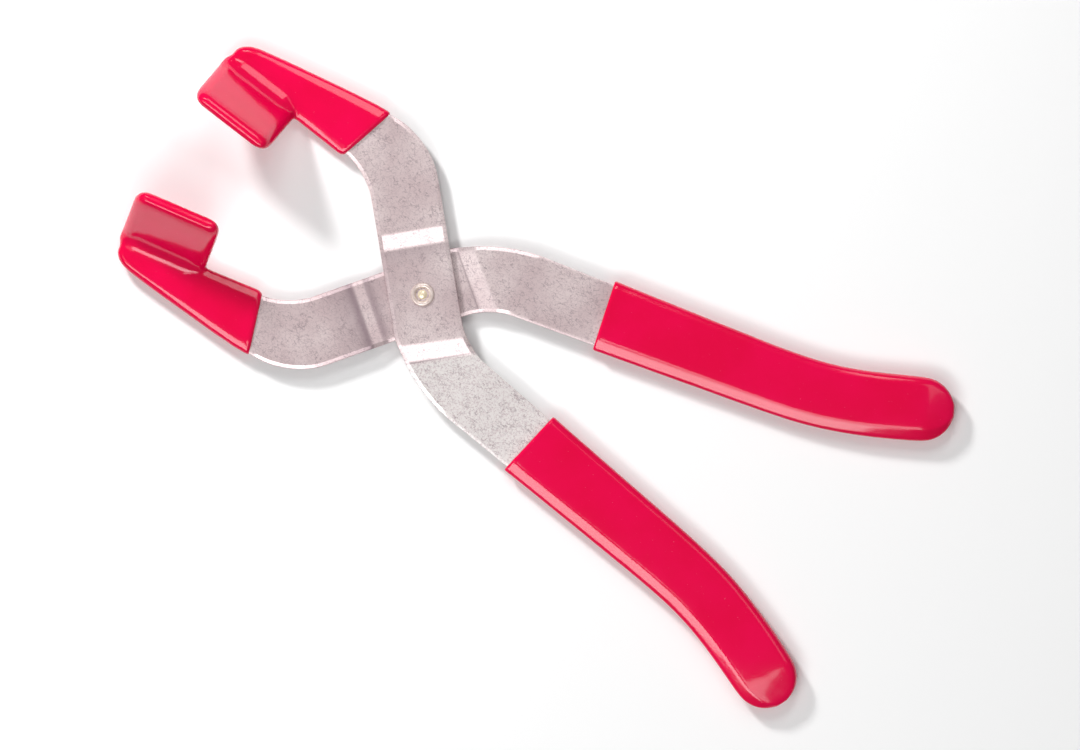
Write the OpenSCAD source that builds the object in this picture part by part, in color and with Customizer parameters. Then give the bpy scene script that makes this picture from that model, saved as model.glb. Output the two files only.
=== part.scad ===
// Pliers that pull the covers off wheel nuts: two crossed steel arms turn on one rivet.
// Both handles and both jaws are dipped in vinyl, and each jaw ends in a tab bent upwards.
// The origin is on the rivet's axis, at the underside of its head.
// +X runs to the handles, +Y to the upper jaw's side, +Z away from what the pliers lie on.

/* [Steel arms] */
// Thickness of the steel
sheet_t = 3.2; // [2.6:0.1:3.8]
// Angle between the two arms at rest, measured on their straight middles
cross_angle = 100; // [97:0.5:103]
// Width of an arm at the rivet
land_w = 26.6; // [24.6:0.2:28]
// Gap between the two arms where they cross
land_gap = 0.1; // [0.05:0.01:0.3]
// Distance from the rivet's axis to the foot of the joggle
joggle_start = 18.6; // [18:0.1:20]
// Length of the joggle's slope
joggle_run = 6.6; // [5:0.1:8]

/* [Handles] */
// Distance from the rivet's axis at which the handle's sides are placed
handle_x = 65; // [60:1:75]
// Distance from the centreline to the handle's inner side there
handle_in_y = 16.3; // [14:0.1:18]
// Distance from the centreline to the handle's outer side there
handle_out_y = 41; // [39:0.1:43]
// Slope of the handle's inner side
handle_in_slope = 10.6; // [9:0.1:12]
// Slope of the handle's outer side
handle_out_slope = 8.6; // [7.5:0.1:10]
// Slope of the neck between the rivet and the handle
neck_slope = 35; // [33:0.5:38]
// Slope of the flared end
end_slope = 27; // [24:0.5:30]
// Distance from the rivet's axis to the centre of the rounded end
end_x = 188; // [175:1:205]
// Distance from the centreline to the centre of the rounded end
end_y = 59.6; // [57:0.2:62]
// Width of the rounded end
end_w = 22; // [20:0.2:23.5]
// Radius of the handle's inner side beside the rivet
crotch_r = 26; // [20:1:32]
// Radius of the neck's outer side
neck_r = 56; // [40:1:62]
// Radius of the flare's inner side
flare_in_r = 125; // [100:1:150]
// Radius of the flare's outer side
flare_out_r = 135; // [110:1:160]

/* [Jaws] */
// Distance from the rivet's axis at which the jaw's sides are placed
jaw_x = 50; // [46:0.5:54]
// Distance from the centreline to the jaw's outer side there
jaw_out_y = 53; // [51:0.2:55]
// Distance from the centreline to the jaw's inner side there
jaw_in_y = 31.4; // [29:0.2:33]
// Slope of the jaw's outer side
jaw_out_slope = 5; // [3:0.1:6]
// Slope of the jaw's inner side
jaw_in_slope = 6.9; // [6:0.1:8]
// Radius of the shoulder between the arm and the jaw's outer side
shoulder_r = 31; // [24:1:34]
// Radius of the throat between the arm and the jaw's inner side
throat_r = 28; // [20:1:32]
// Radius of the jaw's outer corner
nose_r = 4.6; // [3:0.1:5]

/* [Tabs] */
// Distance from the rivet's axis to the middle of the tab
tab_x = 94; // [86:1:104]
// Distance from the centreline to the line where the tab starts to bend, at its middle
tab_y = 40.3; // [39:0.1:41.5]
// Slope of the bend line
tab_slope = 7.1; // [5:0.1:9]
// Width of the tab along the bend line
tab_w = 32; // [28:0.5:34]
// Angle between the tab and the arm's plane
tab_angle = 60; // [55:1:64]
// Length of the flat tab above the bend
tab_len = 27.6; // [22:0.2:30]
// Radius inside the bend
bend_r = 6.4; // [5:0.1:8]
// Radius of the tab's two free corners
tab_corner_r = 3.6; // [2:0.1:5]
// Width of the relief cut at the tab's inner end
relief_w = 1.6; // [1:0.1:2.2]

/* [Vinyl] */
// Thickness of the vinyl on the handles
grip_t = 1.6; // [1.2:0.1:2.2]
// Distance in from a grip's side over which its edge is rounded
grip_round = 5; // [3.5:0.1:6.5]
// Distance from the rivet's axis to the middle of a grip's open end
grip_x = 64.2; // [60:0.2:80]
// Slant of a grip's open end
grip_slant = 12.3; // [0:0.1:20]
// Thickness of the vinyl on the jaws
sleeve_t = 1.4; // [1:0.1:1.8]
// Thickness of the vinyl on the tabs
tab_vinyl_t = 1.3; // [0.9:0.1:1.7]
// Distance in from a jaw's side over which the vinyl's edge is rounded
sleeve_round = 3; // [2.5:0.1:3.5]
// Distance from the rivet's axis to the middle of a jaw sleeve's open end
sleeve_x = 49.6; // [48.5:0.1:54]
// Slant of a jaw sleeve's open end
sleeve_slant = 18.2; // [12:0.1:22]

/* [Rivet] */
// Diameter of the rivet's shank
shank_d = 7; // [6:0.1:8]
// Diameter of the head under the lower arm
head_d = 13; // [11:0.1:15]
// Thickness of the head
head_h = 1.6; // [1.2:0.1:2.2]
// Bevel round the head's lower edge
head_bevel = 0.5; // [0.2:0.1:0.8]
// Diameter of the hollow in the rivet's upper end
hollow_d = 5.5; // [4.6:0.1:5.8]
// Depth of the hollow below the upper arm's face, at its wall
hollow_depth = 1.4; // [0.8:0.1:3]
// Height of the hollow's domed floor
dome_h = 0.6; // [0.3:0.1:1]
// Diameter of the rolled ring that holds the upper arm down
ring_d = 9.2; // [8.6:0.1:10]
// Radial clearance of the shank in the upper arm's hole
hole_clearance = 0.06; // [0.03:0.01:0.15]
// Gap between the rolled ring and the upper arm
ring_gap = 0.05; // [0.02:0.01:0.2]

/* [Hidden] */
$fn = 96;
arc_step = 9;
least_steps = 4;
steel_colour = [0.80, 0.75, 0.75];
vinyl_colour = [0.89, 0.02, 0.22];
rivet_colour = [0.85, 0.76, 0.66];
land_angle = cross_angle / 2;
mid_z = head_h + sheet_t + land_gap / 2;
top_face_z = mid_z + land_gap / 2 + sheet_t;
reach = 3 * end_x;

// An edge is a point and a heading, and an outline is edges met counter-clockwise.
// A third entry of 0 marks an edge that stays where it is when its outline is moved out.
function heading(a) = [cos(a), sin(a)];
function left_of(a) = [-sin(a), cos(a)];
function moved_out(e, d) = [e[0] - (e[2] == 0 ? 0 : d) * left_of(e[1]), e[1]];
function wrapped(a) = a > 180 ? a - 360 : a < -180 ? a + 360 : a;
function meet(e, f) =
  let (u = heading(e[1]), v = heading(f[1]))
  e[0] + cross(f[0] - e[0], v) / cross(u, v) * u;

// The corner between edges e and f of an outline moved out by d: sharp where r is 0
function corner(e, f, r, d) =
  let (turn = wrapped(f[1] - e[1]),
       side = sign(turn),
       round_r = r + side * d,
       p = meet(moved_out(e, d), moved_out(f, d)),
       c = p - round_r * tan(abs(turn) / 2) * heading(e[1]) + side * round_r * left_of(e[1]),
       steps = max(least_steps, ceil(abs(turn) / arc_step)))
  r == 0 ? [p]
  : [for (i = [0:steps]) c - side * round_r * left_of(e[1] + turn * i / steps)];

function outline(edges, radii, d = 0) =
  [for (i = [0:len(edges) - 1])
    each corner(edges[i], edges[(i + 1) % len(edges)], radii[i], d)];

// The edges of the upper arm, seen from above: its jaw is at +Y and its handle at -Y
land_in = [-land_w / 2 * [sin(land_angle), cos(land_angle)], -land_angle];
land_out = [land_w / 2 * [sin(land_angle), cos(land_angle)], 180 - land_angle];
land_end = land_w / 2 / cos(land_angle);
neck_out = [[0, -land_end], -neck_slope];
handle_out = [[handle_x, -handle_out_y], -handle_out_slope];
handle_in = [[handle_x, -handle_in_y], 180 - handle_in_slope];
end_p = [end_x, -end_y];
flare_out = [end_p - end_w / 2 * left_of(-end_slope), -end_slope];
flare_in = [end_p + end_w / 2 * left_of(-end_slope), 180 - end_slope];
handle_end = [end_p + end_w / 2 * heading(-end_slope), 90 - end_slope];
end_r = 0.98 * end_w / 2;
neck_start_r = land_w / 2;
jaw_out = [[-jaw_x, jaw_out_y], 180 + jaw_out_slope];
jaw_in = [[-jaw_x, jaw_in_y], -jaw_in_slope];
bend_dir = -tab_slope;
tab_mid = [-tab_x, tab_y];
bend_line = [tab_mid, bend_dir];
jaw_tip = [tab_mid - tab_w / 2 * heading(bend_dir), bend_dir - 90];
relief = [tab_mid + (tab_w / 2 + relief_w) * heading(bend_dir), bend_dir - 90];
relief_top_r = relief_w / 4;
relief_foot_r = relief_w / 2;

arm_edges = [
  jaw_tip, bend_line, relief, jaw_in, land_in, neck_out, handle_out, flare_out,
  handle_end, flare_in, handle_in, land_out, jaw_out
];
arm_radii = [
  0, relief_top_r, relief_foot_r, throat_r, neck_start_r, neck_r, flare_out_r, end_r,
  end_r, flare_in_r, crotch_r, shoulder_r, nose_r
];

// The bent tab: across its width by x, along its path by s, and through its thickness by y
mid_r = bend_r + sheet_t / 2;
bend_len = mid_r * tab_angle * PI / 180;
lead_in = sleeve_round + 1;
tab_foot_len = 2;

function tab_path(s) =
  let (a = min(max(s / bend_len, 0), 1) * tab_angle, rest = max(s - bend_len, 0))
  [mid_r * sin(a) + rest * cos(a) + min(s, 0), mid_r * (1 - cos(a)) + rest * sin(a), a];

function tab_point(x, s, y) =
  let (p = tab_path(s))
  [p[0] - y * sin(p[2]), x, p[1] + y * cos(p[2])];

// One ring of the tab's vinyl: a band with both sides rounded
side_steps = 5;
function band_ring(s, half_w, half_t) =
  [for (side = [1, -1], i = [-side_steps:side_steps])
    let (a = 90 * i / side_steps)
    tab_point(side * (half_w - sleeve_round * (1 - cos(a))), s, side * half_t * sin(a))];

// Closed solid through rings of as many points each, which turn left round the way they follow.
// cap lists the faces that close the first ring, and closes the last one turned over.
module ring_solid(rings, cap) {
  n = len(rings[0]);
  last = len(rings) - 1;
  sides = [for (k = [0:last - 1], i = [0:n - 1])
    let (a = k * n + i, b = k * n + (i + 1) % n)
    each [[a, a + n, b], [b, a + n, b + n]]];
  last_cap = [for (t = cap) [for (i = [len(t) - 1:-1:0]) last * n + t[i]]];
  polyhedron([for (ring = rings) each ring], concat(cap, sides, last_cap));
}

// Vinyl round a flat stretch: the outline grows by t, with its edges rounded over w
edge_steps = 5;
function dipped_layers(edges, radii, t, w) =
  [for (i = [-edge_steps:edge_steps])
    let (a = 90 * i / edge_steps, z = mid_z + (sheet_t / 2 + t) * sin(a))
    [for (p = outline(edges, radii, t - w * (1 - cos(a)))) [p.x, p.y, z]]];

module dipped_plate(edges, radii, t, w) {
  layers = dipped_layers(edges, radii, t, w);
  ring_solid(layers, [[for (i = [0:len(layers[0]) - 1]) i]]);
}

// The same for a long stretch, as rings across it from its mouth to its rounded end.
// Its two sides have as many points each.
module dipped_bar(edges, radii, t, w) {
  layers = dipped_layers(edges, radii, t, w);
  last = len(layers[0]) - 1;
  ring_solid([for (k = [0:(last - 1) / 2])
    concat([for (layer = layers) layer[last - k]],
           [for (i = [len(layers) - 1:-1:0]) layers[i][k]])],
    strip_cap(2 * len(layers)));
}

// Faces across a ring whose first half runs up one side and whose second runs down the other
function strip_cap(n) =
  [for (i = [0:n / 2 - 2]) each [[i, i + 1, n - 1 - i], [i + 1, n - 2 - i, n - 1 - i]]];

// The sheet without its joggle, as it is inside the vinyl
module flat_sheet() {
  translate([0, 0, mid_z - sheet_t / 2]) linear_extrude(sheet_t)
    polygon(outline(arm_edges, arm_radii));
}

// The sheet seen from its side along the straight middle, with a joggle to each side
module joggled_sheet() {
  foot = joggle_start + joggle_run;
  rise = (sheet_t + land_gap) / 2;
  upper = [
    [-reach, 0], [-foot, 0], [-joggle_start, rise], [joggle_start, rise], [foot, 0], [reach, 0]
  ];
  lower = [for (i = [len(upper) - 1:-1:0]) upper[i] - [0, sheet_t]];
  rotate(-land_angle) translate([0, 0, mid_z + sheet_t / 2]) rotate([90, 0, 0])
    linear_extrude(2 * reach, center = true) polygon(concat(upper, lower));
}

// Frame of the tab: x inward across the bend line, y along it, at mid thickness.
// The tab is bent to the blank's upper face where side is 1, and to its lower face at -1.
module tab_frame(side) {
  translate([tab_mid.x, tab_mid.y, mid_z]) rotate(bend_dir - 90)
    rotate([side > 0 ? 0 : 180, 0, 0]) children();
}

// The bent strip seen along the bend line, from its foot inside the arm to its free end
bend_steps = 6;
tab_stops = concat(
  [-tab_foot_len], [for (i = [0:2 * bend_steps]) bend_len * i / (2 * bend_steps)],
  [bend_len + tab_len + 1]);
function strip_side(y) =
  [for (s = tab_stops) let (p = tab_point(0, s, y)) [p[0], p[2]]];

module bent_strip() {
  near = strip_side(-sheet_t / 2);
  far = strip_side(sheet_t / 2);
  rotate([90, 0, 0]) linear_extrude(2 * tab_w, center = true)
    polygon(concat(near, [for (i = [len(far) - 1:-1:0]) far[i]]));
}

// The tab's outline, cut square through its flat part
module tab_outline() {
  corner_y = tab_w / 2 - tab_corner_r;
  translate([0, 0, mid_r]) rotate([0, -tab_angle, 0])
    translate([0, 0, -mid_r]) linear_extrude(2 * tab_len, center = true) hull() {
      translate([-tab_len, -tab_w / 2]) square([tab_len, tab_w]);
      for (side = [-1, 1]) translate([tab_len - tab_corner_r, side * corner_y])
        circle(tab_corner_r);
    }
}

module steel_tab(side) {
  tab_frame(side) intersection() {
    bent_strip();
    tab_outline();
  }
}

module steel_arm(side, hole_d) {
  difference() {
    union() {
      intersection() {
        linear_extrude(2 * reach, center = true) polygon(outline(arm_edges, arm_radii));
        joggled_sheet();
      }
      steel_tab(side);
    }
    translate([0, 0, -reach]) cylinder(h = 2 * reach, d = hole_d);
  }
}

// The open ends of the vinyl lie on slanted lines across a handle and a jaw
grip_mouth = [[grip_x, -(handle_in_y + handle_out_y) / 2], -90 - grip_slant, 0];
sleeve_mouth = [[-sleeve_x, (jaw_in_y + jaw_out_y) / 2], 90 - sleeve_slant, 0];
web_foot = meet(relief, jaw_in);
web_top = meet(jaw_tip, bend_line);
web = [web_top, atan2(web_foot.y - web_top.y, web_foot.x - web_top.x)];

module grip() {
  edges = [grip_mouth, handle_out, flare_out, handle_end, flare_in, handle_in];
  radii = [0, flare_out_r, end_r, end_r, flare_in_r, 0];
  difference() {
    dipped_bar(edges, radii, grip_t, grip_round);
    flat_sheet();
  }
}

module tab_vinyl() {
  half_w = tab_w / 2 + tab_vinyl_t;
  half_t = sheet_t / 2 + tab_vinyl_t;
  tip_s = bend_len + tab_len + tab_vinyl_t;
  tip_r = tab_corner_r + tab_vinyl_t;
  tip_steps = 5;
  bent = [for (i = [0:bend_steps]) band_ring(bend_len * i / bend_steps, half_w, half_t)];
  tip = [for (i = [0:tip_steps])
    let (a = 78 * i / tip_steps,
         s = tip_s - tip_r * (1 - sin(a)),
         e = max(0, s - tip_s + sleeve_round) / sleeve_round)
    band_ring(s, half_w - tip_r * (1 - cos(a)), half_t * sqrt(1 - e * e))];
  rings = concat([band_ring(-lead_in, half_w, half_t)], bent, tip);
  ring_solid(rings, strip_cap(len(rings[0])));
}

module jaw_sleeve(side) {
  edges = [jaw_tip, web, jaw_in, sleeve_mouth, jaw_out];
  radii = [sleeve_round, sleeve_round, 0, 0, nose_r];
  difference() {
    union() {
      dipped_plate(edges, radii, sleeve_t, sleeve_round);
      tab_frame(side) tab_vinyl();
    }
    flat_sheet();
    steel_tab(side);
  }
}

// The bottom arm is the same blank turned over, with its tab bent the other way
module turned_over() {
  translate([0, 0, mid_z]) rotate([180, 0, 0]) translate([0, 0, -mid_z]) children();
}

module top_arm() {
  color(steel_colour) steel_arm(1, shank_d + 2 * hole_clearance);
}

module bottom_arm() {
  color(steel_colour) turned_over() steel_arm(-1, shank_d);
}

module top_arm_grip() {
  color(vinyl_colour) grip();
}

module bottom_arm_grip() {
  color(vinyl_colour) turned_over() grip();
}

module top_jaw_sleeve() {
  color(vinyl_colour) jaw_sleeve(1);
}

module bottom_jaw_sleeve() {
  color(vinyl_colour) turned_over() jaw_sleeve(-1);
}

// A semi-tubular rivet: flat head below, solid shank, and its hollow end rolled outwards
module rivet() {
  ring_r = (ring_d - hollow_d) / 4;
  ring_mid = (ring_d + hollow_d) / 4;
  seat_z = top_face_z + ring_gap;
  floor_z = top_face_z - hollow_depth;
  roll = [for (a = [0:15:180]) [ring_mid + ring_r * cos(a), seat_z + ring_r * sin(a)]];
  dome = [for (i = [5:-1:0]) [hollow_d / 2 * i / 5, floor_z + dome_h * (1 - pow(i / 5, 2))]];
  color(rivet_colour) rotate_extrude() polygon(concat(
    [
      [0, 0], [head_d / 2 - head_bevel, 0], [head_d / 2, head_bevel], [head_d / 2, head_h],
      [shank_d / 2, head_h], [shank_d / 2, seat_z]
    ],
    roll, dome));
}

top_arm();
bottom_arm();
rivet();
top_arm_grip();
bottom_arm_grip();
top_jaw_sleeve();
bottom_jaw_sleeve();
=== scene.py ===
import bpy, bmesh
from math import sin, cos, tan, radians, sqrt
from mathutils import Matrix, Vector


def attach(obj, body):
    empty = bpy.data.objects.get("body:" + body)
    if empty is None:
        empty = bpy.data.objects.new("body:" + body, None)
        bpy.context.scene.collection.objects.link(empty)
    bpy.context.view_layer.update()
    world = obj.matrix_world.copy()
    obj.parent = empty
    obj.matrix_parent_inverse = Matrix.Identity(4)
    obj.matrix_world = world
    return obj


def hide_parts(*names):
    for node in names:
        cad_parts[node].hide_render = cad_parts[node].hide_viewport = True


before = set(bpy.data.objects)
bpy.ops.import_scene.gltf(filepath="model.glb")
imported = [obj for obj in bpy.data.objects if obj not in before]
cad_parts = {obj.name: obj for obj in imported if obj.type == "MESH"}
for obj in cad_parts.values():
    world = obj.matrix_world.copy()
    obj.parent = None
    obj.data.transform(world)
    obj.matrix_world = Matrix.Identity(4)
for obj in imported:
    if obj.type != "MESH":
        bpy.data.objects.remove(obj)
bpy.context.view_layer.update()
print("frame loaded:", ", ".join(sorted(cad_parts)))

# shapes are drawn in millimetres and scaled by mm as they are made
mm = 0.001
midZ = 4.85  # mid-plane of both arms away from the crossing, above the floor


def nothingSelected():
    if bpy.context.mode != "OBJECT":
        bpy.ops.object.mode_set(mode="OBJECT")
    bpy.ops.object.select_all(action="DESELECT")


def editOnly(piece):
    nothingSelected()
    piece.select_set(True)
    bpy.context.view_layer.objects.active = piece
    bpy.ops.object.mode_set(mode="EDIT")


def pick(kind, wanted):
    # selects the verts, edges or faces that wanted() says yes to
    bpy.ops.mesh.select_all(action="DESELECT")
    bpy.ops.mesh.select_mode(type=kind)
    mesh = bmesh.from_edit_mesh(bpy.context.object.data)
    found = 0
    for part in {"VERT": mesh.verts, "EDGE": mesh.edges, "FACE": mesh.faces}[kind]:
        if wanted(part):
            part.select_set(True)
            found += 1
    mesh.select_flush_mode()
    bmesh.update_edit_mesh(bpy.context.object.data)
    return found


def middle(edge):
    return (edge.verts[0].co + edge.verts[1].co) / 2 / mm


def drawLoop(name, points, filled=False):
    # a circle primitive whose points are dragged to the corners of a drawing
    nothingSelected()
    bpy.ops.mesh.primitive_circle_add(vertices=len(points), radius=0.01,
                                      fill_type="NGON" if filled else "NOTHING")
    piece = bpy.context.object
    piece.name = piece.data.name = name
    bpy.ops.object.mode_set(mode="EDIT")
    starts = [v.co.copy() for v in bmesh.from_edit_mesh(piece.data).verts]
    for i, point in enumerate(points):
        pick("VERT", lambda v: v.index == i)
        bpy.ops.transform.translate(value=Vector(point) * mm - starts[i])
    bpy.ops.mesh.select_all(action="SELECT")
    return piece


def drawOut(x, y, z):
    # extrudes what is selected by so many millimetres
    way = Vector((x, y, z)) * mm
    bpy.ops.mesh.extrude_region_move(TRANSFORM_OT_translate={"value": way})


def turnSelected(angle, axis, centre):
    bpy.ops.transform.rotate(value=-radians(angle), orient_axis=axis, center_override=centre)


def roundEdges(size, segments):
    bpy.ops.mesh.bevel(offset=size * mm, segments=segments, affect="EDGES", clamp_overlap=False)


def joinInto(piece, other):
    nothingSelected()
    other.select_set(True)
    piece.select_set(True)
    bpy.context.view_layer.objects.active = piece
    bpy.ops.object.join()


def applyAll(piece):
    nothingSelected()
    piece.select_set(True)
    bpy.context.view_layer.objects.active = piece
    for modifier in list(piece.modifiers):
        bpy.ops.object.modifier_apply(modifier=modifier.name)


def finishPiece(piece, node, body, material, smoothAngle=180):
    editOnly(piece)
    bpy.ops.mesh.select_all(action="SELECT")
    bpy.ops.mesh.normals_make_consistent(inside=False)
    bpy.ops.object.mode_set(mode="OBJECT")
    if smoothAngle < 180:
        bpy.ops.object.shade_smooth_by_angle(angle=radians(smoothAngle))
    else:
        bpy.ops.object.shade_smooth()
    piece.data.materials.clear()
    piece.data.materials.append(material)
    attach(piece, body)
    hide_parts(node)


# what the three materials share

def startMaterial(name):
    material = bpy.data.materials.new(name)
    material.use_nodes = True
    nodes, links = material.node_tree.nodes, material.node_tree.links
    shader = nodes["Principled BSDF"]
    place = nodes.new("ShaderNodeTexCoord")
    return material, nodes, links, shader, place.outputs["Object"]


def noiseOn(nodes, links, place, scale, detail=3, rough=0.5, stretch=(1, 1, 1), turn=0):
    move = nodes.new("ShaderNodeMapping")
    move.inputs["Scale"].default_value = stretch
    move.inputs["Rotation"].default_value = (0, 0, radians(turn))
    links.new(place, move.inputs["Vector"])
    noise = nodes.new("ShaderNodeTexNoise")
    noise.inputs["Scale"].default_value = scale
    noise.inputs["Detail"].default_value = detail
    noise.inputs["Roughness"].default_value = rough
    links.new(move.outputs["Vector"], noise.inputs["Vector"])
    return noise.outputs["Fac"]


def rampOf(nodes, links, value, stops):
    ramp = nodes.new("ShaderNodeValToRGB")
    ramp.color_ramp.elements[0].position, ramp.color_ramp.elements[0].color = stops[0]
    ramp.color_ramp.elements[1].position, ramp.color_ramp.elements[1].color = stops[-1]
    for position, color in stops[1:-1]:
        ramp.color_ramp.elements.new(position).color = color
    links.new(value, ramp.inputs["Fac"])
    return ramp.outputs["Color"]


def mixed(nodes, links, share, first, second, blend="MIX"):
    mix = nodes.new("ShaderNodeMix")
    mix.data_type, mix.blend_type = "RGBA", blend
    for socket, value in ((mix.inputs[0], share), (mix.inputs[6], first), (mix.inputs[7], second)):
        if isinstance(value, (int, float, tuple)):
            socket.default_value = value
        else:
            links.new(value, socket)
    return mix.outputs[2]


def bumpOf(nodes, links, height, strength, distance):
    bump = nodes.new("ShaderNodeBump")
    bump.inputs["Strength"].default_value = strength
    bump.inputs["Distance"].default_value = distance
    links.new(height, bump.inputs["Height"])
    return bump.outputs["Normal"]


def reachOf(nodes, links, place, way):
    # how far a point lies along a direction, on the scale that its length sets
    reach = nodes.new("ShaderNodeVectorMath")
    reach.operation = "DOT_PRODUCT"
    reach.inputs[1].default_value = way
    links.new(place, reach.inputs[0])
    return reach.outputs["Value"]


def distanceOf(nodes, links, place, point, times):
    # how far a point of the surface is from a fixed one, times so much a metre
    near = nodes.new("ShaderNodeMapping")
    near.inputs["Location"].default_value = [-times * c for c in point]
    near.inputs["Scale"].default_value = (times, times, times)
    length = nodes.new("ShaderNodeVectorMath")
    length.operation = "LENGTH"
    links.new(place, near.inputs["Vector"])
    links.new(near.outputs["Vector"], length.inputs[0])
    return length.outputs["Value"]


def grey(v):
    return (v, v, v, 1)


def greys(stops):
    return [(position, grey(v)) for position, v in stops]


# where painted shade and a lighter patch lie on the steel is measured in decimetres from the rivet
steelLook = {
    "pale": (0.90, 0.77, 0.765, 1), "mid": (0.75, 0.59, 0.60, 1), "neckPale": (0.98, 0.93, 0.91, 1),
    "speck": (0.62, 0.48, 0.50, 1), "dark": (0.36, 0.26, 0.29, 1),
    "grain": 1500, "grainDetail": 5, "grainRough": 0.65, "speckle": [(0.32, 0.15), (0.52, 1)],
    "patches": 45, "patchDetail": 4, "patchStops": (0.35, 0.65),
    "hairs": 290, "hairDetail": 2, "hairLine": [(0.478, 0), (0.5, 1), (0.522, 0)],
    "hairPatches": 260, "hairPatchTurn": 45, "hairHere": [(0.46, 0), (0.60, 0.65)], "hairDepth": 0.4,
    "hairWays": [(20, (1, 1.6, 1)), (-60, (1, 1.4, 1)), (100, (1, 2, 1))],  # turn, stretch
    "alongUpper": (6.43, -7.66, 0), "alongLower": (6.43, 7.66, 0),  # each straight middle, to the handle
    "toNear": (0, -10, 0), "toJaws": (-10, 0, 0),  # -Y and -X
    "neck": [(0.245, 0), (0.27, 1), (0.34, 0.9)], "neckSide": [(0, 0), (0.08, 1)],
    # painted shade beside the two folds of the lower arm's jaw side
    "foldShadeStops": [(0.08, 0), (0.165, 0.25), (0.185, 0.6), (0.197, 0.7), (0.206, 0),
              (0.238, 0), (0.247, 0.8), (0.258, 0.85), (0.285, 0.4), (0.38, 0)],
    "foldSide": [(0, 0), (0.05, 1)],
    "crossing": [(0.29, 1), (0.31, 0)],
    # painted shade lines at a fold of each handle side, and a darkening towards the upper arm's jaw side
    # fold
    "foldShadeAndDarkening": [  # arm, 1 for its handle side or -1 for its jaw side, start, the fold itself, depth
        ("alongUpper", 1, 0.248, 0.254, 0.7),
        ("alongLower", 1, 0.178, 0.184, 0.7),
        ("alongUpper", -1, 0.11, 0.182, 0.4),
    ],
    "foldDarkeningFade": 0.004,
    "metallic": 0.45, "rough": [(0.3, 0.28), (0.7, 0.36)], "bump": 0.2, "bumpDepth": 0.00004,
}


def makeSteel():
    # zinc-plated sheet: pinkish grey, mottled, with fine curly scratches
    look = steelLook
    material, nodes, links, shader, place = startMaterial("zincSteel")

    def reached(way, stops, end=1):
        value = reachOf(nodes, links, place, [end * c for c in way])
        return rampOf(nodes, links, value, greys(stops))

    def both(first, second):
        return mixed(nodes, links, 1.0, first, second, "MULTIPLY")

    grain = noiseOn(nodes, links, place, look["grain"], look["grainDetail"], look["grainRough"])
    patches = noiseOn(nodes, links, place, look["patches"], look["patchDetail"])
    first, last = look["patchStops"]
    tone = rampOf(nodes, links, patches, [(first, look["mid"]), (last, look["pale"])])
    # lighter from the upper arm's fold down its neck, on the near side only
    neckPale = both(reached(look["alongUpper"], look["neck"]), reached(look["toNear"], look["neckSide"]))
    tone = mixed(nodes, links, neckPale, tone, look["neckPale"])
    speckle = rampOf(nodes, links, grain, greys(look["speckle"]))
    tone = mixed(nodes, links, speckle, look["speck"], tone)
    height = grain
    for turn, stretch in look["hairWays"]:
        curls = noiseOn(nodes, links, place, look["hairs"], look["hairDetail"],
                        stretch=stretch, turn=turn)
        line = rampOf(nodes, links, curls, greys(look["hairLine"]))
        clumps = noiseOn(nodes, links, place, look["hairPatches"], 1,
                         turn=turn + look["hairPatchTurn"])
        hair = both(line, rampOf(nodes, links, clumps, greys(look["hairHere"])))
        tone = mixed(nodes, links, hair, tone, look["dark"])
        height = mixed(nodes, links, look["hairDepth"], height, hair, "SUBTRACT")
    # painted shade along both folds of the lower arm's jaw side, left off on the band between them
    paintedFoldShade = both(reached(look["alongLower"], look["foldShadeStops"], -1),
                   reached(look["toJaws"], look["foldSide"]))
    tone = mixed(nodes, links, paintedFoldShade, tone, look["dark"])
    # painted shade as a thin dark line at one fold of each handle side; the upper arm's jaw side is
    # darkened towards its fold
    fromRivet = distanceOf(nodes, links, place, (0, 0, 0), 10)
    crossing = rampOf(nodes, links, fromRivet, greys(look["crossing"]))
    for arm, end, start, fold, depth in look["foldShadeAndDarkening"]:
        foldDarkening = reached(look[arm], [(start, 0), (fold, depth), (fold + look["foldDarkeningFade"], 0)], end)
        tone = mixed(nodes, links, both(foldDarkening, crossing), tone, look["dark"])
    links.new(tone, shader.inputs["Base Color"])
    shader.inputs["Metallic"].default_value = look["metallic"]
    links.new(rampOf(nodes, links, patches, greys(look["rough"])), shader.inputs["Roughness"])
    bump = bumpOf(nodes, links, height, look["bump"], look["bumpDepth"])
    links.new(bump, shader.inputs["Normal"])
    return material


rivetLook = {
    "pale": (0.86, 0.73, 0.68, 1), "warm": (0.74, 0.59, 0.54, 1), "creamHighlight": (0.93, 0.79, 0.57, 1),
    "grain": 700, "grainStops": (0.35, 0.65),
    "hollowFloor": (0, 0, 0.0082), "creamTo": [(0.25, 1), (0.30, 0)],  # in centimetres from it
    "metallic": 0.35, "rough": 0.25, "bump": 0.2, "bumpDepth": 0.00005,
}


def makeRivetMetal():
    # brassy pink; creamy inside the hollow, partly a brass tint and partly a painted highlight
    look = rivetLook
    material, nodes, links, shader, place = startMaterial("rivetBrass")
    grain = noiseOn(nodes, links, place, look["grain"], 3)
    first, last = look["grainStops"]
    tone = rampOf(nodes, links, grain, [(first, look["warm"]), (last, look["pale"])])
    # painted highlight with a brass tint over the hollow's floor and dome
    fromFloor = distanceOf(nodes, links, place, look["hollowFloor"], 100)
    inside = rampOf(nodes, links, fromFloor, greys(look["creamTo"]))
    tone = mixed(nodes, links, inside, tone, look["creamHighlight"])
    links.new(tone, shader.inputs["Base Color"])
    shader.inputs["Metallic"].default_value = look["metallic"]
    shader.inputs["Roughness"].default_value = look["rough"]
    bump = bumpOf(nodes, links, grain, look["bump"], look["bumpDepth"])
    links.new(bump, shader.inputs["Normal"])
    return material


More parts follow.
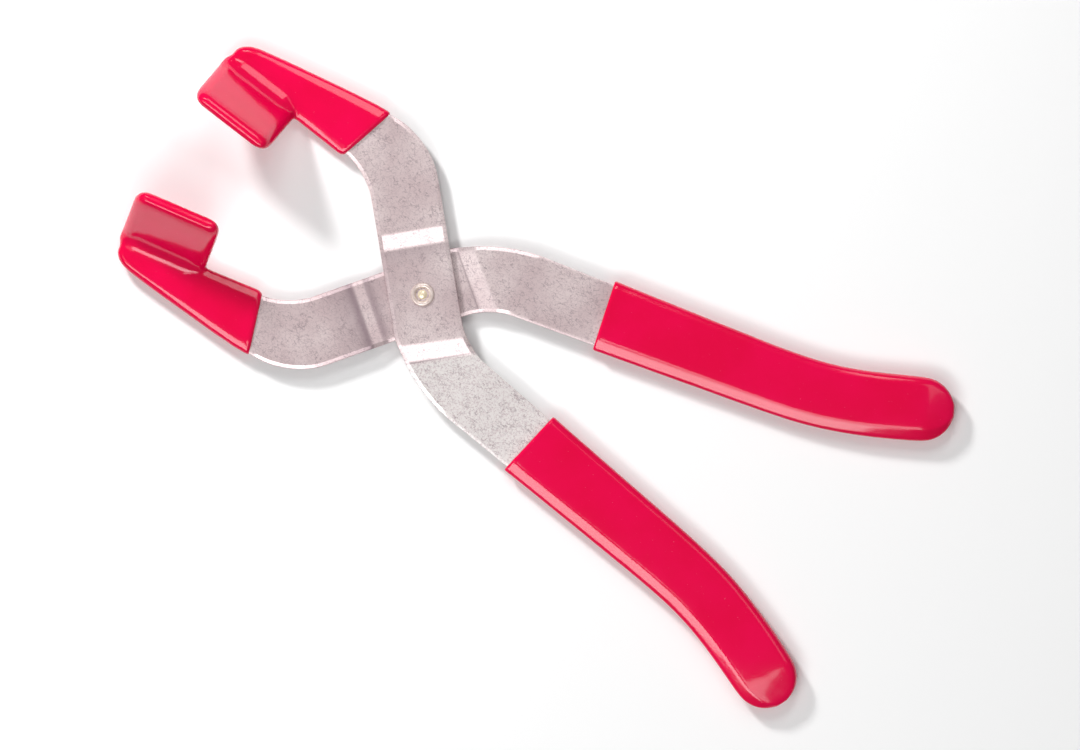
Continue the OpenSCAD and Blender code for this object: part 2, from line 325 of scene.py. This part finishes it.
vinylLook = {
    "red": (0.80, 0.0, 0.066, 1), "deep": (0.75, 0.0, 0.052, 1), "clouds": 45, "cloudStops": (0.35, 0.65),
    "dust": 1500, "dustTone": (0.85, 0.12, 0.20, 1), "dustStops": [(0.74, 0), (0.78, 1)],
    "rough": 0.14, "specular": 0.4, "coat": 0.3, "coatRough": 0.06,
    "skin": 140, "bump": 0.12, "bumpDepth": 0.0006,
}


def makeVinyl():
    # dipped PVC: saturated red, glossy, with faint orange peel and a few specks
    look = vinylLook
    material, nodes, links, shader, place = startMaterial("dippedVinyl")
    cloudy = noiseOn(nodes, links, place, look["clouds"], 3)
    first, last = look["cloudStops"]
    tone = rampOf(nodes, links, cloudy, [(first, look["deep"]), (last, look["red"])])
    dots = rampOf(nodes, links, noiseOn(nodes, links, place, look["dust"], 2), greys(look["dustStops"]))
    tone = mixed(nodes, links, dots, tone, look["dustTone"])
    links.new(tone, shader.inputs["Base Color"])
    shader.inputs["Roughness"].default_value = look["rough"]
    shader.inputs["Specular IOR Level"].default_value = look["specular"]
    shader.inputs["Coat Weight"].default_value = look["coat"]
    shader.inputs["Coat Roughness"].default_value = look["coatRough"]
    skin = noiseOn(nodes, links, place, look["skin"], 2)
    bump = bumpOf(nodes, links, skin, look["bump"], look["bumpDepth"])
    links.new(bump, shader.inputs["Normal"])
    return material


steel, rivetMetal, vinyl = makeSteel(), makeRivetMetal(), makeVinyl()
print("materials made")


# the stamped blank is drawn as on a template: each side is a point and a heading

def across(side, distance):
    x, y, a = side
    return (x - distance * sin(radians(a)), y + distance * cos(radians(a)), a)


def meet(a, b):
    ux, uy, vx, vy = cos(radians(a[2])), sin(radians(a[2])), cos(radians(b[2])), sin(radians(b[2]))
    t = ((b[0] - a[0]) * vy - (b[1] - a[1]) * vx) / (ux * vy - uy * vx)
    return (a[0] + t * ux, a[1] + t * uy)


blank = {
    "sheet": 3.2, "crossAngle": 100, "landWidth": 26.6, "lift": 1.65,
    "jawX": -50, "jawIn": 31.4, "jawInTurn": -6.9, "jawOut": 53, "jawOutTurn": 185,
    "landInTurn": -50, "landOutTurn": 130, "neckTurn": -35,
    "handleX": 65, "handleIn": -16.3, "handleInTurn": 169.4, "handleOut": -41, "handleOutTurn": -8.6,
    "end": (188, -59.6, -27), "endHalf": 11,  # centre and heading of the flared end
    "joggleStart": 18.6, "joggleEnd": 25.2, "joggleRound": 0.8,
    "tabMiddle": (-94, 40.3), "tabSlope": 7.1, "tabWidth": 32, "tabAngle": 60,
    "tabBend": 6.4, "tabLength": 27.6, "tabShort": 0.4, "tabCorner": 5, "bendSteps": 8,
    "relief": 0.6, "jawTipIn": 1.4,
    "rollFrom": -57, "rollTo": 76,  # past these the edges are under the vinyl
    "rollWidth": 1.5, "rollDepth": 0.5, "topRim": 0.3, "backRim": 0.25,
    "radii": {  # where each side meets the next one
        "jawTip": 0, "bendLine": 0.7, "relief": 0.8, "jawIn": 28, "landIn": 13.3, "neck": 56,
        "handleOut": 135, "flareOut": 10.8, "handleEnd": 10.8, "flareIn": 125, "handleIn": 26,
        "landOut": 31, "jawOut": 5.5,
    },
    "cornerSteps": 4, "degreesAStep": 5, "smoothAngle": 17, "flatWeight": 80,
}


def blankSides():
    b = blank
    half, a = b["landWidth"] / 2, radians(b["crossAngle"] / 2)
    tabX, tabY = b["tabMiddle"]
    slope = -b["tabSlope"]
    c, s = cos(radians(slope)), sin(radians(slope))
    tip, cut = b["tabWidth"] / 2 - b["jawTipIn"], b["tabWidth"] / 2 + b["relief"]
    end, endHalf = b["end"], b["endHalf"]
    endC, endS = cos(radians(end[2])), sin(radians(end[2]))
    return {
        "jawTip": (tabX - tip * c, tabY - tip * s, slope - 90),
        "bendLine": (tabX, tabY, slope),
        "relief": (tabX + cut * c, tabY + cut * s, slope - 90),
        "jawIn": (b["jawX"], b["jawIn"], b["jawInTurn"]),
        "landIn": (-half * sin(a), -half * cos(a), b["landInTurn"]),
        "neck": (0, -half / cos(a), b["neckTurn"]),
        "handleOut": (b["handleX"], b["handleOut"], b["handleOutTurn"]),
        "flareOut": across(end, -endHalf),
        "handleEnd": (end[0] + endHalf * endC, end[1] + endHalf * endS, end[2] + 90),
        "flareIn": across(end, endHalf)[:2] + (end[2] + 180,),
        "handleIn": (b["handleX"], b["handleIn"], b["handleInTurn"]),
        "landOut": (half * sin(a), half * cos(a), b["landOutTurn"]),
        "jawOut": (b["jawX"], b["jawOut"], b["jawOutTurn"]),
    }


def roundCorner(corner, cut, steps):
    # cuts a corner of the flat drawing back by cut along both its sides
    spot = Vector(corner) * mm
    pick("VERT", lambda v: (v.co.xy - spot).length < 0.02 * mm)
    bpy.ops.mesh.bevel(offset=cut * mm, segments=steps, affect="VERTICES", clamp_overlap=False)


def cutBlank(name, flip):
    b, sides = blank, blankSides()
    names = list(sides)
    low = midZ - b["sheet"] / 2
    corners = []
    for i, first in enumerate(names):
        second = names[(i + 1) % len(names)]
        x, y = meet(sides[first], sides[second])
        turn = (sides[second][2] - sides[first][2] + 180) % 360 - 180
        cut = b["radii"][first] * tan(radians(abs(turn)) / 2)
        corners.append((x, y * flip, cut, abs(turn)))
    piece = drawLoop(name, [(x, y, low) for x, y, cut, turn in corners], filled=True)
    for x, y, cut, turn in corners:
        if cut > 0:
            roundCorner((x, y), cut, max(b["cornerSteps"], int(turn / b["degreesAStep"])))
    bpy.ops.mesh.select_all(action="SELECT")
    drawOut(0, 0, b["sheet"])
    return piece


def joggle(piece, flip, lift):
    # fold lines across the straight middle, then everything between them goes up or down
    b = blank
    a = radians(b["crossAngle"] / 2)
    along = Vector((cos(a), -sin(a) * flip, 0))
    start, end, r = b["joggleStart"], b["joggleEnd"], b["joggleRound"]
    for line in (start, end):
        for shift in (-r, -r / 3, r / 3, r):
            for way in (-1, 1):
                bpy.ops.mesh.select_all(action="SELECT")
                bpy.ops.mesh.bisect(plane_co=along * (line + shift) * way * mm, plane_no=along)
    slope = b["lift"] / (end - start)

    def drop(u, line):
        # height lost past a fold line, rounded over r to both sides of it
        t = min(max(u - line + r, 0), 2 * r)
        return slope * (t * t / (4 * r) + max(u - line - r, 0))

    mesh = bmesh.from_edit_mesh(piece.data)
    for v in mesh.verts:
        u = abs(v.co.dot(along)) / mm
        v.co.z += lift * (b["lift"] - drop(u, start) + drop(u, end)) * mm
    bmesh.update_edit_mesh(piece.data)


def bendTab(piece, flip):
    # the side face on the bend line is swung up and drawn out
    b = blank
    tabX, tabY = b["tabMiddle"]
    slope, up = radians(b["tabSlope"]), radians(b["tabAngle"])
    spot = Vector((tabX, tabY * flip, midZ))
    pick("FACE", lambda f: (f.calc_center_median() / mm - spot).length < 3 and abs(f.normal.z) < 0.2)
    lineWay = Vector((cos(slope), -sin(slope) * flip, 0))
    outWay = Vector((lineWay.y, -lineWay.x, 0)) * flip
    hinge = spot + Vector((0, 0, b["tabBend"] + b["sheet"] / 2))
    bpy.ops.mesh.spin(steps=b["bendSteps"], angle=up, center=hinge * mm, axis=lineWay * flip)
    drawOut(*((outWay * cos(up) + Vector((0, 0, sin(up)))) * (b["tabLength"] - b["tabShort"])))
    tipHeight = max(v.co.z for v in bmesh.from_edit_mesh(piece.data).verts)
    thick = b["sheet"] * mm
    pick("EDGE", lambda e: min(v.co.z for v in e.verts) > tipHeight - thick
         and abs(e.calc_length() - thick) < 0.1 * mm)
    roundEdges(b["tabCorner"], 5)


def rollRims(piece):
    # the punched face is rolled over, the back keeps a small break
    b = blank
    start, end = b["rollFrom"], b["rollTo"]

    def rim(level):
        def test(e):
            if len(e.link_faces) != 2 or not start < middle(e).x < end:
                return False
            tops = [f.normal.z * level > 0.8 for f in e.link_faces]
            walls = [abs(f.normal.z) < 0.3 for f in e.link_faces]
            return (tops[0] and walls[1]) or (tops[1] and walls[0])
        return test

    bpy.ops.mesh.select_all(action="SELECT")
    bpy.ops.mesh.normals_make_consistent(inside=False)
    for line in (start, end):
        bpy.ops.mesh.select_all(action="SELECT")
        bpy.ops.mesh.bisect(plane_co=(line * mm, 0, 0), plane_no=(1, 0, 0))
    pick("FACE", lambda f: f.normal.z > 0.9 and start < f.calc_center_median().x / mm < end)
    bpy.ops.mesh.inset(thickness=b["rollWidth"] * mm, use_even_offset=True, use_boundary=True)
    pick("VERT", lambda v: start + 0.1 < v.co.x / mm < end - 0.1
         and any(abs(f.normal.z) < 0.3 for f in v.link_faces)
         and any(f.normal.z > 0.9 for f in v.link_faces))
    bpy.ops.transform.translate(value=(0, 0, -b["rollDepth"] * mm))
    bmesh.from_edit_mesh(piece.data).normal_update()
    onTop = pick("EDGE", rim(1))
    roundEdges(b["topRim"], 5)
    onBack = pick("EDGE", rim(-1))
    roundEdges(b["backRim"], 2)
    print("  rims rounded:", onTop, "edges on top and", onBack, "on the back")


def makeArm(name, flip, lift, node, body):
    # flip is 1 for the blank as drawn and -1 for the one turned over, lift is its joggle's way
    piece = cutBlank(name, flip)
    joggle(piece, flip, lift)
    bendTab(piece, flip)
    rollRims(piece)
    finishPiece(piece, node, body, steel, blank["smoothAngle"])
    weigh = piece.modifiers.new("flatFaces", "WEIGHTED_NORMAL")
    weigh.keep_sharp, weigh.weight = True, blank["flatWeight"]
    applyAll(piece)
    print(name, "made:", len(piece.data.polygons), "faces")


makeArm("upperArmSteel", 1, 1, "top_arm", "upper_half")
makeArm("lowerArmSteel", -1, -1, "bottom_arm", "lower_half")


rivetShape = {
    "sides": 72, "headRadius": 6.5, "headHeight": 1.6, "bevel": 0.5, "shank": 3.5, "top": 8.15,
    "ringMiddle": 3.62, "ringRadius": 0.98, "ringHigh": 0.75, "ringStep": 15,
    "hollow": 2.6, "floor": 7.5, "floorRound": 0.15, "dome": 1.25,
    "domeRings": (0.96, 0.8, 0.6, 0.4, 0.2, 0.06), "smoothAngle": 40,
}


def makeRivet():
    # a flat head, then ring after ring drawn out of its top face
    r = rivetShape
    nothingSelected()
    radius, height = r["headRadius"], r["headHeight"]
    bpy.ops.mesh.primitive_cylinder_add(vertices=r["sides"], radius=radius * mm, depth=height * mm,
                                        location=(0, 0, height / 2 * mm))
    piece = bpy.context.object
    bpy.ops.object.transform_apply(location=True, rotation=True, scale=True)
    piece.name = piece.data.name = "rivetMetal"
    bpy.ops.object.mode_set(mode="EDIT")
    pick("EDGE", lambda e: all(v.co.z < 0.1 * mm for v in e.verts))
    bpy.ops.mesh.bevel(offset=r["bevel"] * mm, segments=3, affect="EDGES")
    pick("FACE", lambda f: f.normal.z > 0.9)
    rings = [(r["shank"], r["headHeight"]), (r["shank"], r["top"])]
    for angle in range(0, 181, r["ringStep"]):
        a = radians(angle)
        rings.append((r["ringMiddle"] + r["ringRadius"] * cos(a), r["top"] + r["ringHigh"] * sin(a)))
    rings.append((r["hollow"], r["floor"] + r["floorRound"]))
    for share in r["domeRings"]:
        rings.append((r["hollow"] * share, r["floor"] + r["dome"] * (1 - share * share)))
    for newRadius, newHeight in rings:
        drawOut(0, 0, newHeight - height)
        k = newRadius / radius
        bpy.ops.transform.resize(value=(k, k, 1), center_override=(0, 0, newHeight * mm))
        radius, height = newRadius, newHeight
    finishPiece(piece, "rivet", "lower_half", rivetMetal, r["smoothAngle"])
    print("rivet made")


makeRivet()


# the vinyl skins: a rounded section drawn along its path, ring by ring

def fullSection(left, right, width, thick, crown=0.0):
    # left and right list (distance in from that side, share of the thickness), the flat is between
    upper = [(width - inset, thick * height) for inset, height in left]
    inner = width - left[-1][0]
    upper += [(inner * k, thick * (1 + crown * (1 - k * k))) for k in (0.6, 0.3, 0.0, -0.3, -0.6)]
    upper += [(inset - width, thick * height) for inset, height in reversed(right)]
    return upper + [(x, -z) for x, z in reversed(upper)]


def loft(name, section, stations, turnAxis="Z"):
    # stations are dictionaries: at (x, y, z), turn in degrees, wide and thick as factors
    first = stations[0]
    x, y, z = first["at"]
    s, c = sin(radians(first["turn"])), cos(radians(first["turn"]))
    points = []
    for w, t in section:
        w, t = w * first["wide"], t * first["thick"]
        points.append((x - w * s, y + w * c, z + t) if turnAxis == "Z" else (x + w, y - t * s, z + t * c))
    piece = drawLoop(name, points)
    bpy.ops.mesh.edge_face_add()
    bpy.ops.mesh.select_mode(type="FACE")
    last = first
    for station in stations[1:]:
        drawOut(*(Vector(station["at"]) - Vector(last["at"])))
        centre = Vector(station["at"]) * mm
        turnSelected(station["turn"] - last["turn"], turnAxis, centre)
        w, t = station["wide"] / last["wide"], station["thick"] / last["thick"]
        bpy.ops.transform.resize(value=(w, w, t) if turnAxis == "Z" else (w, t, t),
                                 center_override=centre)
        last = station
    return piece


def waver(piece, strength, size):
    # slight unevenness of a dipped skin
    clouds = bpy.data.textures.new(piece.name + "Skin", "CLOUDS")
    clouds.noise_scale = size
    uneven = piece.modifiers.new("uneven", "DISPLACE")
    uneven.texture, uneven.texture_coords = clouds, "LOCAL"
    uneven.strength, uneven.mid_level = strength * mm, 0.5


gripShape = {
    "halfThick": 3.2, "halfWidth": 13.9, "crown": 0.04,
    # shoulders: distance in from the side, share of the thickness
    "tight": [(0.0, 0.25), (0.3, 0.50), (0.9, 0.72), (1.8, 0.88), (3.0, 0.97), (4.5, 1.0)],
    "wide": [(0.0, 0.25), (0.35, 0.45), (1.2, 0.58), (2.4, 0.71), (3.8, 0.86), (5.0, 0.975), (6.2, 1.0)],
    "middle": (65, -28.65, -9.6),  # a point and the heading of the straight part's centreline
    "mouth": [  # distance past the open end, heading, width and thickness as factors
        (-0.1, -12.3, 0.93, 0.60), (-0.25, -12.3, 0.985, 0.88), (0.6, -12.3, 1.01, 1.05),
        (2.2, -11, 1.0, 1.0),
    ],
    "straight": [(64.4, 13.95), (72, 13.8), (90, 13.45), (112, 13.1), (134, 12.75)],  # x, half width
    # x, heading, half width, thickness as a factor
    "flare": [(148, -14.5, 12.65, 1.0), (162, -20.5, 12.6, 1.06), (176, -26.5, 12.6, 1.2)],
    # centre, heading and radius of the rounded end, then share of the radius and thickness
    "end": (188, -59.6, -27, 12.6),
    "cap": [(0.0, 1.22), (0.35, 1.02), (0.62, 0.82), (0.80, 0.68), (0.91, 0.56), (0.97, 0.44), (1.0, 0.25)],
    "capLeast": 0.03, "smoothings": 2, "waver": 0.25, "waverSize": 0.02,
}


def gripStations(flip):
    g = gripShape
    stations = []

    def add(x, y, turn, wide, thick=1.0):
        stations.append({"at": (x, y * flip, midZ), "turn": turn * flip,
                         "wide": wide / g["halfWidth"], "thick": thick})

    middleX, middleY, heading = g["middle"]

    def straightY(x):
        return middleY + (x - middleX) * tan(radians(heading))

    x, wide = g["straight"][0]
    for shift, turn, share, thick in g["mouth"]:
        add(x + shift, straightY(x + max(shift, 0)), turn, wide * share, thick)
    for x, wide in g["straight"][1:]:
        add(x, straightY(x), heading, wide)
    y = straightY(x)
    for nextX, turn, wide, thick in g["flare"]:
        half = (stations[-1]["turn"] * flip + turn) / 2
        y += (nextX - x) * tan(radians(half))
        x = nextX
        add(x, y, turn, wide, thick)
    endX, endY, turn, radius = g["end"]
    c, s = cos(radians(turn)), sin(radians(turn))
    for k, thick in g["cap"]:
        wide = radius * sqrt(max(1.0 - k * k, g["capLeast"]))
        add(endX + radius * k * c, endY + radius * k * s, turn, wide, thick)
    return stations


def makeGrip(name, flip, node, body):
    g = gripShape
    # the dip ran down to the -Y side of both handles, so the shoulder is wider there
    section = fullSection(g["tight"], g["wide"], g["halfWidth"], g["halfThick"], g["crown"])
    piece = loft(name, section, gripStations(flip))
    bpy.ops.object.mode_set(mode="OBJECT")
    smooth = piece.modifiers.new("smooth", "SUBSURF")
    smooth.levels = smooth.render_levels = g["smoothings"]
    waver(piece, g["waver"], g["waverSize"])
    applyAll(piece)
    finishPiece(piece, node, body, vinyl)
    print(name, "made:", len(piece.data.polygons), "faces")


makeGrip("upperArmGripVinyl", 1, "top_arm_grip", "upper_half")
makeGrip("lowerArmGripVinyl", -1, "bottom_arm_grip", "lower_half")


# the jaw vinyl: a flat skin and a tab skin, run together and softened like the dip

sleeveShape = {
    "halfThick": 3.0, "halfWidth": 12.0,
    "shoulder": [(0.0, 0.28), (0.35, 0.54), (1.0, 0.68), (2.3, 0.80), (3.6, 0.93), (4.8, 1.0)],
    "jaw": [  # x, outer side, inner side, heading, thickness
        (-49.4, 54.2, 30.6, 161.8, 0.62), (-49.8, 54.6, 30.2, 161.8, 0.93),
        (-51.0, 54.8, 29.9, 162.5, 1.05), (-54.0, 54.4, 30.3, 170, 1.0),
        (-62.0, 53.6, 31.4, 179, 1.0), (-76.6, 52.3, 33.4, 179, 1.0),
        (-80.0, 52.0, 34.0, 179, 1.0), (-92.0, 50.9, 36.6, 179, 1.0), (-102.0, 49.7, 38.8, 179, 1.0),
        (-105.2, 48.9, 39.2, 180, 1.0), (-107.6, 47.5, 39.8, 182, 0.95), (-109.1, 45.8, 40.4, 183, 0.8),
        (-109.8, 44.4, 41.0, 183, 0.5),
    ],
    "tabShoulder": [(0.0, 0.25), (0.5, 0.52), (1.5, 0.76), (2.8, 0.93), (4.0, 1.0)],
    "tabWide": 17.6, "tabThick": 2.95, "tabOver": 1.3,
    "tabFoot": -4, "footWide": 0.86, "bendWide": 0.93, "bendWiden": 0.035, "bendSteps": 6,
    "blade": [  # share of the tab's length, width and thickness as factors
        (0.35, 1.0, 1.0), (0.7, 1.0, 1.0), (0.82, 0.99, 1.0), (0.875, 0.975, 0.98),
        (0.93, 0.94, 0.88), (0.975, 0.89, 0.68), (1.0, 0.83, 0.35),
    ],
    "valley": 9.5, "valleyEnds": 2.0, "valleySteps": 8, "valleyTaper": 5, "valleyShrink": 0.75,
    "voxel": 0.5, "soften": 18, "softenBy": 0.5, "waver": 0.15, "waverSize": 0.015,
}


def drawJaw(name, flip):
    s = sleeveShape
    stations = []
    for x, outer, inner, turn, thick in s["jaw"]:
        stations.append({"at": (x, flip * (outer + inner) / 2, midZ), "turn": turn * flip,
                         "wide": (outer - inner) / 2 / s["halfWidth"], "thick": thick})
    return loft(name, fullSection(s["shoulder"], s["shoulder"], s["halfWidth"], s["halfThick"]), stations)


def drawTab(name, middleR):
    # drawn with its bend line along X and the bend's centre above the origin
    s, b = sleeveShape, blank
    up = b["tabAngle"]
    stations = [{"at": (0, s["tabFoot"], 0), "turn": 0, "wide": s["footWide"], "thick": 1}]
    for i in range(s["bendSteps"] + 1):
        turn = up * i / s["bendSteps"]
        a = radians(turn)
        stations.append({"at": (0, middleR * sin(a), middleR * (1 - cos(a))), "turn": turn,
                         "wide": min(1, s["bendWide"] + s["bendWiden"] * i), "thick": 1})
    foot = Vector(stations[-1]["at"])
    way = Vector((0, cos(radians(up)), sin(radians(up)))) * (b["tabLength"] + s["tabOver"])
    for k, wide, thick in s["blade"]:
        stations.append({"at": tuple(foot + way * k), "turn": up, "wide": wide, "thick": thick})
    section = fullSection(s["tabShoulder"], s["tabShoulder"], s["tabWide"], s["tabThick"])
    return loft(name, section, stations, "X")


def drawValley(name, middleR):
    # vinyl gathers in the valley of the bend: a slim filler with a hollow face
    s, up = sleeveShape, radians(blank["tabAngle"])
    r, thick, steps = s["valley"], s["tabThick"], s["valleySteps"]
    start = (middleR - thick - r) * tan(up / 2)
    wide, taper = s["tabWide"] - s["valleyEnds"], s["valleyTaper"]
    hollow = []
    for i in range(steps + 1):
        a = up * i / steps
        hollow.append((-wide, start + r * sin(a), thick + r * (1 - cos(a))))
    # the last two corners lie inside the skins of the tab and the jaw
    drawLoop(name, hollow + [(-wide, start + r * 0.9, thick), (-wide, start + 1, 1)], filled=True)
    for step in (taper, 2 * wide - 2 * taper, taper):
        drawOut(step, 0, 0)
    pick("VERT", lambda v: abs(abs(v.co.x) - wide * mm) < 0.1 * mm)
    bpy.ops.transform.resize(value=(1, s["valleyShrink"], s["valleyShrink"]),
                             center_override=(0, (start + r * 0.5) * mm, 0))
    return bpy.context.object


def makeSleeve(name, flip, node, body):
    s, b = sleeveShape, blank
    middleR = b["tabBend"] + b["sheet"] / 2
    jaw = drawJaw(name, flip)
    tab = drawTab(name + "Tab", middleR)
    joinInto(tab, drawValley(name + "Valley", middleR))
    bpy.ops.object.mode_set(mode="EDIT")
    bpy.ops.mesh.select_all(action="SELECT")
    # the tab is drawn to lean towards +Y, as on the lower jaw, so it is turned round for the upper one
    turnSelected(180 - b["tabSlope"] if flip > 0 else b["tabSlope"], "Z", (0, 0, 0))
    tabX, tabY = b["tabMiddle"]
    bpy.ops.transform.translate(value=Vector((tabX, tabY * flip, midZ)) * mm)
    joinInto(jaw, tab)
    editOnly(jaw)
    bpy.ops.mesh.select_all(action="SELECT")
    bpy.ops.mesh.normals_make_consistent(inside=False)
    nothingSelected()
    oneSkin = jaw.modifiers.new("oneSkin", "REMESH")
    oneSkin.mode, oneSkin.voxel_size = "VOXEL", s["voxel"] * mm
    soften = jaw.modifiers.new("soften", "SMOOTH")
    soften.factor, soften.iterations = s["softenBy"], s["soften"]
    waver(jaw, s["waver"], s["waverSize"])
    applyAll(jaw)
    finishPiece(jaw, node, body, vinyl)
    print(name, "made:", len(jaw.data.polygons), "faces")


makeSleeve("upperJawVinyl", 1, "top_jaw_sleeve", "upper_half")
makeSleeve("lowerJawVinyl", -1, "bottom_jaw_sleeve", "lower_half")


studio = {
    "floorSize": 4, "floorPlace": (0.05, 0, -0.0002), "floorGrey": 0.96, "floorRough": 0.9,
    "lamps": [  # name, place, aim, width, height, watts
        ("keyLight", (-0.44, 0.52, 1.05), (0, 0, 0), 0.32, 0.32, 1.8),
        ("glintLight", (-0.08, 0.45, 0.55), (0, 0, 0), 0.16, 0.36, 0.6),
        ("sideLight", (0.08, -0.80, 0.98), (0.05, 0, 0), 0.95, 0.32, 6),
        ("bandLight", (0.35, -0.385, 1.096), (0.05, 0, 0), 0.45, 0.45, 2.1),
        ("leftLight", (-0.385, -0.46, 1.04), (0, 0, 0), 0.4, 0.3, 0.4),
        ("rightLight", (0.385, 0.46, 1.04), (0, 0, 0), 0.4, 0.3, 0.4),
        ("lowLight", (-0.84, 0.36, 0.60), (0.05, 0, 0), 0.16, 0.16, 9.5),
    ],
    "noGlint": ["lowLight"],  # casts the shadow, but isn't seen in the gloss
    "roomGrey": 1, "roomStrength": 0.1,
}


def makeFloor():
    nothingSelected()
    bpy.ops.mesh.primitive_plane_add(size=studio["floorSize"], location=studio["floorPlace"])
    floor = bpy.context.object
    bpy.ops.object.transform_apply(location=True, rotation=True, scale=True)
    floor.name = "floor"
    material = bpy.data.materials.new("paleFloor")
    material.use_nodes = True
    shader = material.node_tree.nodes["Principled BSDF"]
    shader.inputs["Base Color"].default_value = grey(studio["floorGrey"])
    shader.inputs["Roughness"].default_value = studio["floorRough"]
    floor.data.materials.append(material)


def makeLamps():
    for name, place, aim, wide, high, watts in studio["lamps"]:
        nothingSelected()
        bpy.ops.object.light_add(type="AREA", location=place)
        lamp = bpy.context.object
        lamp.name = name
        lamp.data.shape, lamp.data.size, lamp.data.size_y = "RECTANGLE", wide, high
        lamp.data.energy = watts
        lamp.rotation_euler = (Vector(place) - Vector(aim)).to_track_quat("Z", "Y").to_euler()
        lamp.visible_glossy = name not in studio["noGlint"]


def makeRoom():
    world = bpy.context.scene.world or bpy.data.worlds.new("studio")
    bpy.context.scene.world = world
    world.use_nodes = True
    background = world.node_tree.nodes["Background"]
    background.inputs["Color"].default_value = grey(studio["roomGrey"])
    background.inputs["Strength"].default_value = studio["roomStrength"]


# looks straight down, with the picture's right at this many degrees from +X
view = {"centre": (0.0547, -0.0037, 0.005), "right": 30.5, "width": 0.4158, "distance": 6.0,
        "sensor": 36}


def makeCamera():
    back = Vector((0, 0, 1))
    right = Vector((cos(radians(view["right"])), sin(radians(view["right"])), 0))
    up = back.cross(right)
    bpy.ops.object.camera_add(location=Vector(view["centre"]) + back * view["distance"])
    camera = bpy.context.object
    camera.rotation_euler = Matrix((right, up, back)).transposed().to_euler()
    camera.data.sensor_width = view["sensor"]
    camera.data.lens = view["sensor"] * view["distance"] / view["width"]
    bpy.context.scene.camera = camera


makeFloor()
makeLamps()
makeCamera()
makeRoom()
bpy.context.scene.view_settings.view_transform = "Standard"
print("floor, lamps and camera set")
